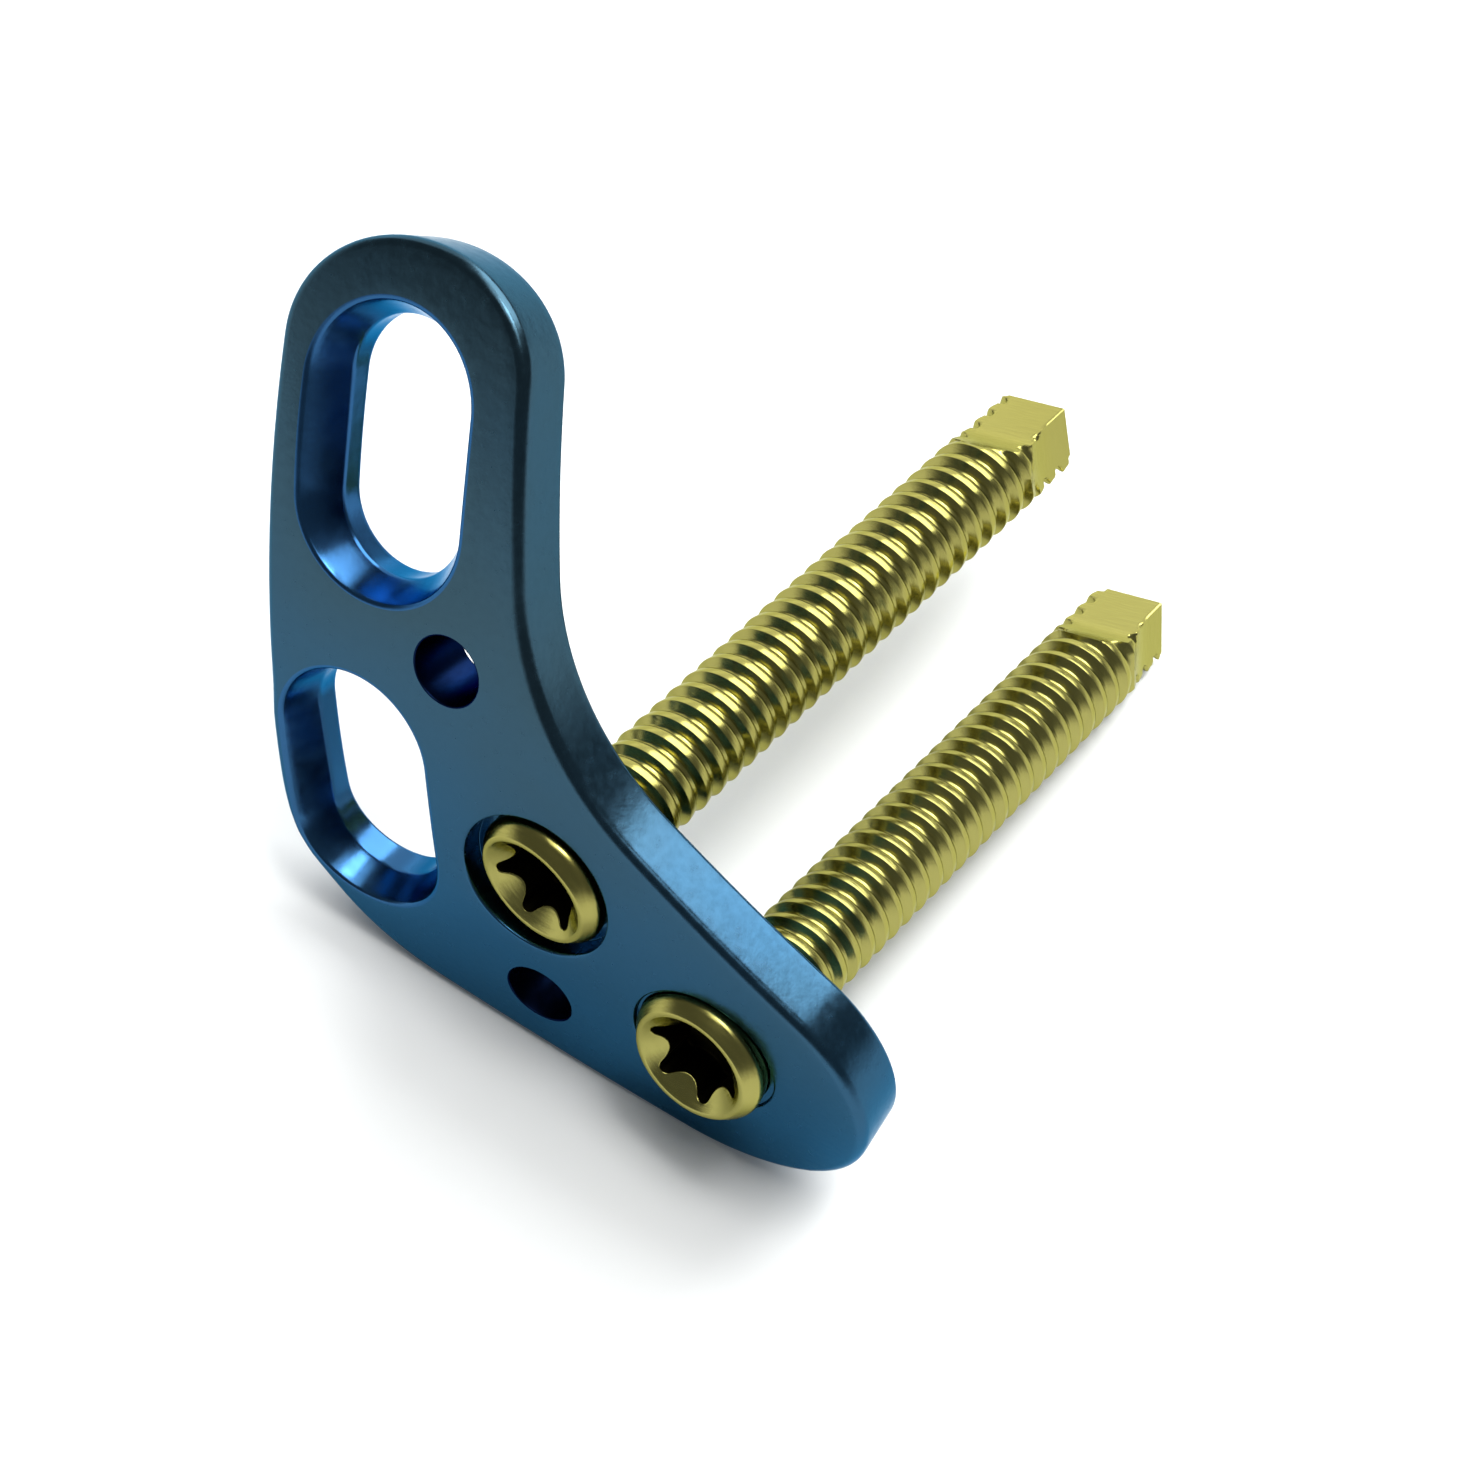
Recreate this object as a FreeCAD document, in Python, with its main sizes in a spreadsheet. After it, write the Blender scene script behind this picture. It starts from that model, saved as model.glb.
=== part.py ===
"""Orthopedic bone plate held by two locking screws, in millimetres.

The plate is an L-shaped strip bent about one axis. It is drawn in its own frame: x runs along
the bend axis, y up the long arm and z out of the front face, which meets z = 0 where y = 0.
"arc" is the distance from there along the bend. A screw is drawn with its face at z = 0 and
its tip below. The whole part is then turned to rest on its lower edge and the lower screw's
tip, +Z up, with its origin at the bottom centre of its box.
"""

import FreeCAD, Part
import math
import os

import MeshPart
import Sketcher
from FreeCAD import Placement, Rotation, Vector

SIZES = {
    # plate section and edges
    "plate_thickness": 2.2,
    "bend_radius": 37.8,
    "front_edge_radius": 0.55,
    "back_edge_break": 0.2,
    # outline laid flat: centres and radii of its four arcs
    "arm_end_x": -1.51,
    "arm_end_y": 12.77,
    "arm_end_radius": 4.46,
    "heel_x": 2.04,
    "heel_y": -2.88,
    "heel_radius": 8.2,
    "foot_end_x": 9.71,
    "foot_end_y": -9.62,
    "foot_end_radius": 5.18,
    "waist_x": 14.64,
    "waist_y": 7.54,
    "waist_radius": 11.19,
    # slots
    "slot_width": 4.5,
    "slot_travel": 3.7,
    "slot_flare_depth": 1.4,
    "upper_slot_x": -1.84,
    "upper_slot_arc": 9.5,
    "upper_slot_mouth": 6.08,
    "lower_slot_x": -2.98,
    "lower_slot_arc": -2.53,
    "lower_slot_mouth": 5.62,
    # wire holes
    "wire_hole_diameter": 2.35,
    "upper_wire_x": 0.85,
    "upper_wire_arc": 3.26,
    "lower_wire_x": 3.01,
    "lower_wire_arc": -8.87,
    # locking holes: place on the front face and lean of the axis, then the screw's stand-out
    # from that face, the gap round it, its turn and the further turn of its flats
    "upper_lock_x": 3.65,
    "upper_lock_arc": -3.82,
    "upper_lock_lean_x": 8.3,
    "upper_lock_lean_arc": 5.4,
    "upper_lock_proud": 0.12,
    "upper_lock_gap": 0.24,
    "upper_lock_turn": 2.0,
    "upper_lock_flats_turn": 77.2,
    "lower_lock_x": 9.23,
    "lower_lock_arc": -8.61,
    "lower_lock_lean_x": 4.3,
    "lower_lock_lean_arc": -7.1,
    "lower_lock_proud": 0.73,
    "lower_lock_gap": 0.1,
    "lower_lock_turn": 37.5,
    "lower_lock_flats_turn": 48.1,
    "seat_clearance": 0.03,
    "relief_margin": 0.08,
    # screw head, neck, threaded shank and tip
    "screw_length": 27.0,
    "thread_diameter": 3.5,
    "head_diameter": 4.85,
    "head_face_diameter": 4.1,
    "head_shoulder_depth": 0.5,
    "head_length": 3.0,
    "head_taper": 15.3,
    "neck_diameter": 2.9,
    "neck_length": 0.9,
    "neck_slope_length": 0.25,
    "tip_length": 0.15,
    "tip_diameter": 3.2,
    # six-lobed drive with a countersunk mouth
    "drive_depth": 1.7,
    "drive_mouth_diameter": 3.8,
    "drive_mouth_slope": 40.0,
    "drive_across_lobes": 3.35,
    "drive_across_valleys": 2.4,
    "drive_lobe_radius": 0.26,
    # cutting flats at the tip, each level and then running out in an arc
    "flat_count": 3,
    "flat_height": 0.95,
    "flat_length": 2.0,
    "flat_runout": 2.6,
}
LOBES = 6
OVERRUN = 6.0
CHORD_ERROR = 0.01
CHORD_ANGLE = 0.5
SAME = 1e-6
SETTLING_STEPS = 12


class Size:
    """A size kept both as an expression on the sheet and as its number."""

    def __init__(self, text, value):
        self.text = text
        self.value = value

    @staticmethod
    def of(other):
        return other if isinstance(other, Size) else Size("%r" % float(other), float(other))

    def join(self, sign, other, value):
        return Size("(%s%s%s)" % (self.text, sign, other.text), value)

    def __add__(self, other):
        other = Size.of(other)
        return self.join("+", other, self.value + other.value)

    def __sub__(self, other):
        other = Size.of(other)
        return self.join("-", other, self.value - other.value)

    def __mul__(self, other):
        other = Size.of(other)
        return self.join("*", other, self.value * other.value)

    def __truediv__(self, other):
        other = Size.of(other)
        return self.join("/", other, self.value / other.value)

    def __neg__(self):
        return Size("(-%s)" % self.text, -self.value)

    def wave(self, name):
        """Sine, cosine or tangent of this angle, which is in degrees."""
        number = getattr(math, name)(math.radians(self.value))
        return Size("%s(%s*1deg)" % (name, self.text), number)


def size(name):
    """One of the driving sizes."""
    return Size("sizes." + name, float(SIZES[name]))


def make_sheet(doc):
    """Write the driving sizes into a spreadsheet, one aliased cell each."""
    sheet = doc.addObject("Spreadsheet::Sheet", "sizes")
    for row, (alias, value) in enumerate(SIZES.items(), start=1):
        sheet.set("A%d" % row, alias.replace("_", " "))
        sheet.set("B%d" % row, str(value))
        sheet.setAlias("B%d" % row, alias)
    doc.recompute()


def bind(item, **sizes):
    """Tie properties of an object to sizes; a double underscore stands for a dot."""
    for name, amount in sizes.items():
        item.setExpression(name.replace("__", "."), amount.text)
    return item


def new_sketch(body, name, role="XY_Plane", height=None):
    """A sketch on one of the body's origin planes, or at a height above it."""
    sketch = body.newObject("Sketcher::SketchObject", name)
    plane = next(part for part in body.Origin.OriginFeatures if part.Role == role)
    sketch.AttachmentSupport = [(plane, "")]
    sketch.MapMode = "FlatFace"
    if height is not None:
        bind(sketch, AttachmentOffset__Base__z=height)
    return sketch


def join_ends(sketch, kind, *ends):
    """Constrain ends of sketch lines and arcs to each other."""
    sketch.addConstraint(Sketcher.Constraint(kind, *ends))


def dimension(sketch, kind, where, amount):
    """Add one dimension that follows a size."""
    index = sketch.addConstraint(Sketcher.Constraint(kind, *where, amount.value))
    sketch.setExpression("Constraints[%d]" % index, amount.text)


def place_point(sketch, geo, end, x=None, y=None):
    """Dimension a point from the sketch origin; a missing x or y puts it on that axis."""
    if x is None:
        join_ends(sketch, "PointOnObject", geo, end, -2)
    else:
        dimension(sketch, "DistanceX", (-1, 1, geo, end), x)
    if y is None:
        join_ends(sketch, "PointOnObject", geo, end, -1)
    else:
        dimension(sketch, "DistanceY", (-1, 1, geo, end), y)


def arc_between(centre, radius, start, end):
    """Counterclockwise arc about a centre from one point to another."""
    circle = Part.Circle(centre, Vector(0, 0, 1), radius)
    first = math.atan2(start.y - centre.y, start.x - centre.x)
    last = math.atan2(end.y - centre.y, end.x - centre.x)
    return Part.ArcOfCircle(circle, first, last)


def tangent_points(first, first_radius, second, second_radius):
    """Ends of the line touching two circles on the right of the way from first to second.

    A circle that bends the other way has a negative radius.
    """
    along = second - first
    lean = (first_radius - second_radius) / along.Length
    along.normalize()
    side = Vector(along.y, -along.x, 0)
    normal = along * lean + side * math.sqrt(1 - lean * lean)
    return first + normal * first_radius, second + normal * second_radius


def draw_outline(sketch):
    """Plate outline: arm end, heel, foot end and waist arcs, joined by tangent lines."""
    names = ["arm_end", "heel", "foot_end", "waist"]
    bends = [1, 1, 1, -1]
    centres = [Vector(SIZES[name + "_x"], SIZES[name + "_y"], 0) for name in names]
    radii = [bend * SIZES[name + "_radius"] for name, bend in zip(names, bends)]
    sides = [tangent_points(centres[i - 1], radii[i - 1], centres[i], radii[i])
             for i in range(len(names))]
    arcs = []
    for i, name in enumerate(names):
        start, end = sides[i][1], sides[(i + 1) % len(names)][0]
        if bends[i] < 0:
            start, end = end, start
        arc = sketch.addGeometry(arc_between(centres[i], abs(radii[i]), start, end))
        dimension(sketch, "Radius", (arc,), size(name + "_radius"))
        place_point(sketch, arc, 3, size(name + "_x"), size(name + "_y"))
        arcs.append(arc)
    for i, (leave, arrive) in enumerate(sides):
        line = sketch.addGeometry(Part.LineSegment(leave, arrive))
        join_ends(sketch, "Tangent", arcs[i - 1], 2 if bends[i - 1] > 0 else 1, line, 1)
        join_ends(sketch, "Tangent", line, 2, arcs[i], 1 if bends[i] > 0 else 2)


def draw_stadium(sketch, radius, half_travel):
    """Slot outline, long along y."""
    top = Vector(0, half_travel.value, 0)
    side = Vector(radius.value, 0, 0)
    upper = sketch.addGeometry(arc_between(top, radius.value, top + side, top - side))
    left = sketch.addGeometry(Part.LineSegment(top - side, -top - side))
    lower = sketch.addGeometry(arc_between(-top, radius.value, -top - side, -top + side))
    right = sketch.addGeometry(Part.LineSegment(-top + side, top + side))
    loop = [upper, left, lower, right]
    for i, item in enumerate(loop):
        join_ends(sketch, "Tangent", loop[i - 1], 2, item, 1)
    join_ends(sketch, "Equal", upper, lower)
    dimension(sketch, "Radius", (upper,), radius)
    place_point(sketch, upper, 3, None, half_travel)
    place_point(sketch, lower, 3, None, -half_travel)


def on_front(x, arc, lean_x=0.0, lean_arc=0.0):
    """Frame on the front face with +Z outward, leaned by two angles in degrees."""
    radius = SIZES["bend_radius"]
    turn = arc / radius
    outward = Vector(0, math.sin(turn), math.cos(turn))
    upward = Vector(0, math.cos(turn), -math.sin(turn))
    point = outward * radius + Vector(x, 0, -radius)
    inward = Vector(math.tan(math.radians(lean_x)), 0, 0) - outward
    inward += upward * math.tan(math.radians(lean_arc))
    axis = -inward.normalize()
    across = upward.cross(axis).normalize()
    return Placement(point, Rotation(across, axis.cross(across), axis, "ZXY"))


def hole_frame(name):
    """Frame of one of the plate's openings, read from its own sizes."""
    lean_x = SIZES.get(name + "_lean_x", 0.0)
    lean_arc = SIZES.get(name + "_lean_arc", 0.0)
    return on_front(SIZES[name + "_x"], SIZES[name + "_arc"], lean_x, lean_arc)


def axis_of(frame):
    """Z direction of a frame."""
    return frame.Rotation.multVec(Vector(0, 0, 1))


def raised(frame, height):
    """The same frame moved along its own Z."""
    return frame * Placement(Vector(0, 0, height), Rotation())


def head_end_radius():
    """Radius of the head's cone where it meets the neck."""
    cone_length = size("head_length") - size("head_shoulder_depth")
    return size("head_diameter") / 2 - cone_length * size("head_taper").wave("tan")


def make_blank(doc):
    """Bent strip: the outline's walls, square to the bend, kept between two cylinders."""
    layers = []
    for name, offset in (("front", Size.of(OVERRUN)),
                         ("back", -size("plate_thickness") - OVERRUN)):
        body = doc.addObject("PartDesign::Body", name + "_outline")
        sketch = new_sketch(body, name + "_outline_sketch")
        draw_outline(sketch)
        layer = doc.addObject("Part::Scale", name + "_layer")
        layer.Base = sketch
        layer.Uniform = False
        bind(layer, YScale=offset / size("bend_radius") + 1, Placement__Base__z=offset)
        layers.append(layer)
    walls = doc.addObject("Part::Loft", "outline_walls")
    walls.Sections = layers
    walls.Solid = True
    walls.Ruled = True
    rolls = []
    spread = (size("arm_end_radius") + size("heel_radius") + size("foot_end_radius")) * 4
    for name, radius in (("front_roll", size("bend_radius")),
                         ("back_roll", size("bend_radius") - size("plate_thickness"))):
        roll = doc.addObject("Part::Cylinder", name)
        roll.Placement.Rotation = Rotation(Vector(0, 1, 0), 90)
        bind(roll, Radius=radius, Height=spread, Placement__Base__x=-spread / 2,
             Placement__Base__z=-size("bend_radius"))
        rolls.append(roll)
    strip = doc.addObject("Part::Cut", "bent_strip")
    strip.Base, strip.Tool = rolls
    blank = doc.addObject("Part::Common", "plate_blank")
    blank.Base, blank.Tool = walls, strip
    return blank


def make_slot_cutter(doc, name):
    """Straight slot through the plate with a flared mouth at the front."""
    body = doc.addObject("PartDesign::Body", name + "_cutter")
    half_travel = size("slot_travel") / 2
    half_width = size("slot_width") / 2
    through = new_sketch(body, name + "_through")
    draw_stadium(through, half_width, half_travel)
    pad = body.newObject("PartDesign::Pad", name + "_pad")
    pad.Profile = through
    pad.Midplane = True
    bind(pad, Length=(size("plate_thickness") + OVERRUN) * 2)
    flare = size(name + "_mouth") / 2 - half_width
    depth = size("slot_flare_depth")
    sections = []
    for part, height in (("mouth", depth / 2), ("throat", -depth)):
        section = new_sketch(body, "%s_%s" % (name, part), height=height)
        draw_stadium(section, half_width + flare * (height / depth + 1), half_travel)
        sections.append(section)
    loft = body.newObject("PartDesign::AdditiveLoft", name + "_flare")
    loft.Profile = sections[0]
    loft.Sections = sections[1:]
    loft.Ruled = True
    body.Placement = hole_frame(name)
    return body


def make_round_cutter(doc, name, radius, frame, depth=None):
    """Straight round cutter, from well above the front face to a depth, or right through."""
    cutter = doc.addObject("Part::Cylinder", name)
    if depth is None:
        depth = size("plate_thickness") + OVERRUN
    bind(cutter, Radius=radius, Height=depth + OVERRUN)
    cutter.Placement = raised(frame, -depth.value)
    return cutter


def make_seat_cutters(doc, name):
    """Tapered seat along the screw, a way for its thread and a round relief above the seat."""
    clearance = size("seat_clearance")
    shoulder = size("head_shoulder_depth")
    widest = size("head_diameter") / 2
    proud = size(name + "_proud")
    leaned = hole_frame(name)
    square = on_front(SIZES[name + "_x"], SIZES[name + "_arc"])
    seat = doc.addObject("Part::Cone", name + "_seat")
    bind(seat, Radius1=head_end_radius() + clearance, Radius2=widest + clearance,
         Height=size("head_length") - shoulder)
    seat.Placement = raised(leaned, (proud - size("head_length")).value)
    way = make_round_cutter(doc, name + "_way", size("thread_diameter") / 2 + clearance, leaned)
    droop = widest * math.sin(axis_of(leaned).getAngle(axis_of(square)))
    relief = make_round_cutter(doc, name + "_relief", widest + size(name + "_gap"), square,
                               shoulder - proud + droop + size("relief_margin"))
    return [seat, way, relief]


def face_on(shape, roll_radius):
    """The strip's face on the cylinder of this radius."""
    return next(face for face in shape.Faces if isinstance(face.Surface, Part.Cylinder)
                and abs(face.Surface.Radius - roll_radius) < SAME)


def band_edges(shape, face):
    """Both long rows of edges of the band of faces round this one."""
    bands = [other for other in shape.Faces if not other.isSame(face)
             and any(edge.isSame(side) for edge in other.Edges for side in face.OuterWire.Edges)]
    sides = [edge for band in bands for edge in band.Edges]
    return [edge for edge in sides if sum(edge.isSame(side) for side in sides) == 1]


def chamfer(body, name, amount, edges):
    """Chamfer edges of the body's last shape."""
    base = body.Tip
    names = ["Edge%d" % number for number, edge in enumerate(base.Shape.Edges, start=1)
             if any(edge.isSame(other) for other in edges)]
    feature = body.newObject("PartDesign::Chamfer", name)
    feature.Base = (base, names)
    bind(feature, Size=amount)
    feature.recompute()


def soften_edges(strip):
    """Break the back edge, and round the front edge by three flats that touch its arc.

    The flats lean 22.5, 45 and 67.5 degrees: one chamfer, then one on both of its own edges.
    """
    front = SIZES["bend_radius"]
    back = front - SIZES["plate_thickness"]
    radius = size("front_edge_radius")
    shape = strip.Tip.Shape
    chamfer(strip, "back_edge", size("back_edge_break"), face_on(shape, back).OuterWire.Edges)
    shape = strip.Tip.Shape
    chamfer(strip, "front_edge_middle", radius * (2 - 1 / math.cos(math.radians(45))),
            face_on(shape, front).OuterWire.Edges)
    shape = strip.Tip.Shape
    corner = math.tan(math.radians(22.5)) - math.tan(math.radians(11.25))
    chamfer(strip, "front_edge_sides", radius * corner, band_edges(shape, face_on(shape, front)))


def make_plate(doc):
    """The plate: bent strip, softened edges, then its openings."""
    strip = doc.addObject("PartDesign::Body", "softened_strip")
    strip.BaseFeature = make_blank(doc)
    doc.recompute()
    soften_edges(strip)
    cutters = [make_slot_cutter(doc, name) for name in ("upper_slot", "lower_slot")]
    for name in ("upper_wire", "lower_wire"):
        cutters.append(make_round_cutter(doc, name + "_cutter", size("wire_hole_diameter") / 2,
                                         hole_frame(name)))
    for name in ("upper_lock", "lower_lock"):
        cutters += make_seat_cutters(doc, name)
    openings = doc.addObject("Part::MultiFuse", "openings")
    openings.Shapes = cutters
    plate = doc.addObject("Part::Cut", "bone_plate")
    plate.Label = "bone_plate"
    plate.Base, plate.Tool = strip, openings
    return plate


def draw_loop(sketch, corners):
    """Closed loop of straight lines through corners that are given as sizes."""
    points = [Vector(x.value if x else 0, y.value if y else 0, 0) for x, y in corners]
    lines = [sketch.addGeometry(Part.LineSegment(points[i - 1], points[i]))
             for i in range(len(points))]
    for i, line in enumerate(lines):
        join_ends(sketch, "Coincident", lines[i - 1], 2, line, 1)
        place_point(sketch, line, 2, *corners[i])


def draw_screw_profile(sketch):
    """Half section of the screw: face, shoulder, cone, neck, threaded shank and tip."""
    neck = size("neck_diameter") / 2
    thread = size("thread_diameter") / 2
    head = -size("head_length")
    shank = head - size("neck_length")
    tip = -size("screw_length")
    corners = [
        (None, None),
        (size("head_face_diameter") / 2, None),
        (size("head_diameter") / 2, -size("head_shoulder_depth")),
        (head_end_radius(), head),
        (neck, head - size("neck_slope_length")),
        (neck, shank + size("neck_slope_length")),
        (thread, shank),
        (thread, tip + size("tip_length")),
        (size("tip_diameter") / 2, tip),
        (None, tip),
    ]
    draw_loop(sketch, corners)


def draw_drive(sketch):
    """Six-lobed recess outline: lobe arcs and valley arcs, all tangent in turn."""
    lobe = size("drive_lobe_radius")
    reach = size("drive_across_lobes") / 2 - lobe
    valley_at = size("drive_across_valleys") / 2
    half = math.radians(180 / LOBES)
    valley = ((reach * reach + valley_at * valley_at - lobe * lobe
               - reach * valley_at * 2 * math.cos(half))
              / ((lobe - valley_at + reach * math.cos(half)) * 2))
    share = lobe.value / (lobe.value + valley.value)
    lobe_centres = []
    valley_centres = []
    for i in range(LOBES):
        turn = 2 * half * i
        lobe_centres.append(Vector(math.cos(turn), math.sin(turn), 0) * reach.value)
        far = valley_at.value + valley.value
        valley_centres.append(Vector(math.cos(turn + half), math.sin(turn + half), 0) * far)
    touches = []
    for i in range(LOBES):
        after = lobe_centres[i] + (valley_centres[i] - lobe_centres[i]) * share
        following = lobe_centres[(i + 1) % LOBES]
        before = following + (valley_centres[i] - following) * share
        touches.append((after, before))
    lobes = []
    valleys = []
    for i in range(LOBES):
        arc = arc_between(lobe_centres[i], lobe.value, touches[i - 1][1], touches[i][0])
        lobes.append(sketch.addGeometry(arc))
        arc = arc_between(valley_centres[i], valley.value, touches[i][1], touches[i][0])
        valleys.append(sketch.addGeometry(arc))
    for i in range(LOBES):
        join_ends(sketch, "Tangent", lobes[i], 2, valleys[i], 2)
        join_ends(sketch, "Tangent", valleys[i], 1, lobes[(i + 1) % LOBES], 1)
    for i in range(LOBES):
        dimension(sketch, "Radius", (lobes[i],), lobe)
        dimension(sketch, "Radius", (valleys[i],), valley)
        turn = 2 * half * i
        x = reach * math.cos(turn)
        y = reach * math.sin(turn) if i % (LOBES // 2) else None
        place_point(sketch, lobes[i], 3, x, y)


def draw_mouth(sketch):
    """Half section of the countersunk mouth of the drive."""
    rim = size("drive_mouth_diameter") / 2
    draw_loop(sketch, [(None, None), (rim, None),
                       (None, -rim * size("drive_mouth_slope").wave("tan"))])


def draw_flat(sketch):
    """Side view of one cutting flat: level from the tip, then an arc out of the shank."""
    runout = size("flat_runout")
    floor = -size("flat_height")
    outer = floor - runout
    tip = -size("screw_length")
    turn = tip + size("flat_length")
    corners = [Vector(floor.value, tip.value, 0), Vector(floor.value, turn.value, 0),
               Vector(outer.value, (turn + runout).value, 0), Vector(outer.value, tip.value, 0)]
    centre = Vector(outer.value, turn.value, 0)
    level = sketch.addGeometry(Part.LineSegment(corners[0], corners[1]))
    arc = sketch.addGeometry(arc_between(centre, runout.value, corners[1], corners[2]))
    side = sketch.addGeometry(Part.LineSegment(corners[2], corners[3]))
    end = sketch.addGeometry(Part.LineSegment(corners[3], corners[0]))
    join_ends(sketch, "Tangent", level, 2, arc, 1)
    join_ends(sketch, "Coincident", arc, 2, side, 1)
    join_ends(sketch, "Coincident", side, 2, end, 1)
    join_ends(sketch, "Coincident", end, 2, level, 1)
    join_ends(sketch, "Vertical", level)
    join_ends(sketch, "Vertical", side)
    join_ends(sketch, "Horizontal", end)
    dimension(sketch, "Radius", (arc,), runout)
    place_point(sketch, arc, 3, outer, turn)
    join_ends(sketch, "Vertical", arc, 3, arc, 2)
    dimension(sketch, "DistanceY", (-1, 1, end, 2), tip)


def make_screw(doc, name, lock):
    """Locking screw in its hole: turned blank, drive recess, and cutting flats at the tip."""
    body = doc.addObject("PartDesign::Body", name)
    body.Label = name
    profile = new_sketch(body, name + "_profile", "XZ_Plane")
    draw_screw_profile(profile)
    blank = body.newObject("PartDesign::Revolution", name + "_blank")
    blank.Profile = profile
    blank.ReferenceAxis = (profile, ["V_Axis"])
    blank.Angle = 360

    outline = new_sketch(body, name + "_drive_outline")
    draw_drive(outline)
    drive = body.newObject("PartDesign::Pocket", name + "_drive")
    drive.Profile = outline
    bind(drive, Length=size("drive_depth"))

    mouth = new_sketch(body, name + "_mouth_profile", "XZ_Plane")
    draw_mouth(mouth)
    lead = body.newObject("PartDesign::Groove", name + "_mouth")
    lead.Profile = mouth
    lead.ReferenceAxis = (mouth, ["V_Axis"])
    lead.Angle = 360

    side = new_sketch(body, name + "_flat_profile", "YZ_Plane")
    draw_flat(side)
    side.AttachmentOffset.Rotation = Rotation(Vector(0, 1, 0), SIZES[lock + "_flats_turn"])
    flat = body.newObject("PartDesign::Pocket", name + "_flat")
    flat.Profile = side
    flat.Midplane = True
    bind(flat, Length=size("thread_diameter") * 2)
    flats = body.newObject("PartDesign::PolarPattern", name + "_flats")
    flats.Originals = [flat]
    flats.Axis = (side, ["V_Axis"])
    flats.Angle = 360
    bind(flats, Occurrences=size("flat_count"))
    body.Tip = flats

    turned = Placement(Vector(), Rotation(Vector(0, 0, 1), SIZES[lock + "_turn"]))
    body.Placement = raised(hole_frame(lock), SIZES[lock + "_proud"]) * turned
    return body


def surface_points(shape):
    """Points spread over a shape's surface, close enough to find where it touches a floor."""
    mesh = MeshPart.meshFromShape(Shape=shape, LinearDeflection=CHORD_ERROR,
                                  AngularDeflection=CHORD_ANGLE, Relative=False)
    return [Vector(point.x, point.y, point.z) for point in mesh.Points]


def resting_turn(plate_points, tip_points):
    """Turn that lays the plate's lower edge and the lower screw's tip on one level.

    The lower edge touches at two points, one on each half, and runs along X.
    """
    left = min(plate_points, key=lambda point: point.x + point.y)
    right = max(plate_points, key=lambda point: point.x - point.y)
    tip = min(tip_points, key=lambda point: point.z)
    for _ in range(SETTLING_STEPS):
        along = (right - left).normalize()
        up = along.cross(tip - left).normalize()
        if up.y < 0:
            up = -up
        middle = (left + right).dot(along) / 2
        left = min((p for p in plate_points if p.dot(along) < middle), key=up.dot)
        right = min((p for p in plate_points if p.dot(along) >= middle), key=up.dot)
        tip = min(tip_points, key=up.dot)
    return Rotation(along, up.cross(along), up, "ZXY").inverted()


def rest_on_floor(plate, screws):
    """Turn and shift every piece so that the part rests with its box's bottom centre at zero."""
    pieces = [plate] + screws
    points = [surface_points(piece.Shape) for piece in pieces]
    turn = resting_turn(points[0], points[-1])
    turned = [turn.multVec(point) for group in points for point in group]
    low = Vector(*[min(point[axis] for point in turned) for axis in range(3)])
    high = Vector(*[max(point[axis] for point in turned) for axis in range(3)])
    origin = Vector((low.x + high.x) / 2, (low.y + high.y) / 2, low.z)
    world = Placement(-origin, turn)
    for piece in pieces:
        piece.Placement = world * piece.Placement


def write_pieces(doc, pieces):
    """Stop on any failed object, then write each piece to its own file."""
    doc.recompute()
    for item in doc.Objects:
        if "Invalid" in item.State or "Error" in item.State:
            raise RuntimeError("%s failed: %s" % (item.Label, item.State))
    os.makedirs("parts", exist_ok=True)
    for piece in pieces:
        shape = piece.Shape
        if shape.isNull() or not shape.isValid() or len(shape.Solids) != 1:
            raise RuntimeError("%s is not one valid solid" % piece.Label)
        shape.exportStep("parts/%s.step" % piece.Label)
        print("%s: %.1f mm3" % (piece.Label, shape.Volume))


def main():
    """Build the plate and its two screws, lay them at rest and write them."""
    doc = FreeCAD.newDocument("bone_plate")
    make_sheet(doc)
    plate = make_plate(doc)
    screws = [make_screw(doc, "locking_screw_upper", "upper_lock"),
              make_screw(doc, "locking_screw_lower", "lower_lock")]
    doc.recompute()
    rest_on_floor(plate, screws)
    write_pieces(doc, [plate] + screws)


main()
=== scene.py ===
"""Bone plate with two locking screws: the dressed model, its light and its camera.

Lengths are in millimetres until a mesh is made. The plate's own frame is the one it is drawn
in: x runs along the bend axis, y up the long arm and z out of the front face, which meets
z = 0 where y = 0. Laid flat, a point of the plate has x, its arc length from there, and its
depth below the front face. A screw's own frame has its face at z = 0 and its tip below. The
studio's lengths are in metres, but for the camera's place.
"""

import logging
import math
from collections.abc import Sequence
from dataclasses import dataclass, field
from enum import Enum, IntEnum

import bmesh
import bpy
import numpy as np
from mathutils import Euler, Matrix, Vector
from mathutils.geometry import delaunay_2d_cdt


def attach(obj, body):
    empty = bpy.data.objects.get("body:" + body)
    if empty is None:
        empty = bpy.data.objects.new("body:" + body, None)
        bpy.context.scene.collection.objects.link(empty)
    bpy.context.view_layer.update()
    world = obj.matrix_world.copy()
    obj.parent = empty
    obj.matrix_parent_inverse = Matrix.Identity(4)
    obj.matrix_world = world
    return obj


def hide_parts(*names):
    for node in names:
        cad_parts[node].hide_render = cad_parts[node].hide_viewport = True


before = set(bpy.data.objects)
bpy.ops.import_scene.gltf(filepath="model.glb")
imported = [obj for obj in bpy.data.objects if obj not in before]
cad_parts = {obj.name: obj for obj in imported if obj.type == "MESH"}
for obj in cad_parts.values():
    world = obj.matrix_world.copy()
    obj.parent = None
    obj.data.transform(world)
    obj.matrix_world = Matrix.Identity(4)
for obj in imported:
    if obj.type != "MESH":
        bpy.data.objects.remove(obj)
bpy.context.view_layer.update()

Array = np.ndarray
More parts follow.
